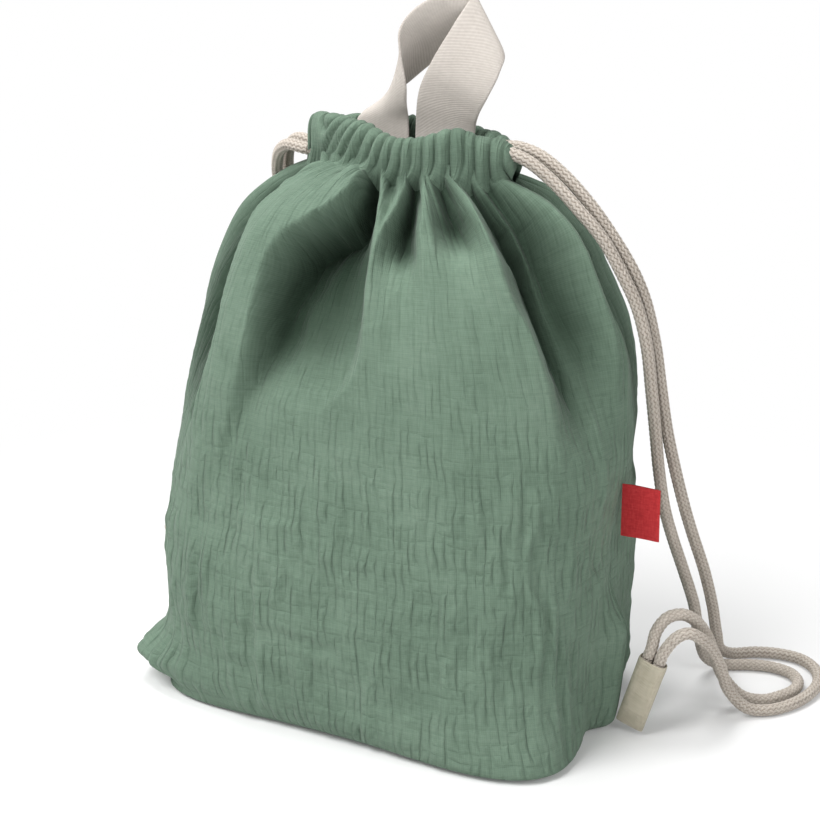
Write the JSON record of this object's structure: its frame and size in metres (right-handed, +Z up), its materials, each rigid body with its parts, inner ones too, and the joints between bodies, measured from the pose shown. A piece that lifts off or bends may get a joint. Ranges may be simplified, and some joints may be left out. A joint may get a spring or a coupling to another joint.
{
  "type": "drawstring backpack",
  "caption": "Soft cotton drawstring backpack, standing filled, with gathered neck casings, paired shoulder cords running into side tabs, a twisted webbing carry loop and a seam label",
  "frame": {"origin": "middle of the base, on the surface that the bag stands on", "axes": "+Z up through the neck, front towards -Y, the wearer's view of the front has +X on the right"},
  "size_m": [0.3775, 0.2069, 0.3639],
  "materials": {
    "gauze": "sage green crinkled double-gauze cotton, matt",
    "lining": "thin plain-weave cotton, matt",
    "tape": "cotton binding tape, matt",
    "cord": "beige braided cotton cord, matt",
    "webbing": "cream twill-woven cotton webbing, matt",
    "twill": "beige cotton twill tape, matt",
    "red_weave": "red woven ribbon with a satin face"
  },
  "bodies": {
    "bag": {"front_panel": "gauze", "back_panel": "gauze", "lining_front": "lining", "lining_back": "lining", "right_binding": "tape", "left_binding": "tape", "bottom_binding": "tape", "right_strand_front": "cord", "right_strand_back": "cord", "left_strand_front": "cord", "left_strand_back": "cord"},
    "mouth_front": {"front_casing": "gauze", "right_run_front": "cord", "left_run_front": "cord"},
    "mouth_back": {"back_casing": "gauze", "right_run_back": "cord", "left_run_back": "cord", "loop_left_end": "webbing", "loop_right_end": "webbing"},
    "carry_loop": {"carry_loop": "webbing"},
    "right_tab": {"right_tab": "twill", "right_end_front": "cord", "right_end_back": "cord"},
    "left_tab": {"left_tab": "twill", "left_end_front": "cord", "left_end_back": "cord"},
    "side_label": {"side_label": "red_weave"}
  },
  "joints": [
    {"name": "mouth_front_opens", "type": "slide", "parent": "bag", "child": "mouth_front", "axis": [0, -1, 0], "range_m": [0, 0.02]},
    {"name": "mouth_back_opens", "type": "slide", "parent": "bag", "child": "mouth_back", "axis": [0, 1, 0], "range_m": [0, 0.02]},
    {"name": "carry_loop_swing", "type": "hinge", "parent": "mouth_back", "child": "carry_loop", "pos_m": [0, 0.00523, 0.3006], "axis": [1, 0, 0], "range_deg": [-50, 50]},
    {"name": "right_tab_bend", "type": "hinge", "parent": "bag", "child": "right_tab", "pos_m": [0.10747, 0, -0.03286], "axis": [0.2924, 0, 0.9563], "range_deg": [-30, 30]},
    {"name": "left_tab_bend", "type": "hinge", "parent": "bag", "child": "left_tab", "pos_m": [-0.10765, 0, -0.03291], "axis": [-0.2924, 0, 0.9563], "range_deg": [-30, 30]},
    {"name": "side_label_bend", "type": "hinge", "parent": "bag", "child": "side_label", "pos_m": [0.11857, 0, 0.1195], "axis": [0, 0, 1], "range_deg": [-60, 60]}
  ],
  "couplings": [
    {"joint": "mouth_back_opens", "follows": "mouth_front_opens", "ratio": 1}
  ]
}
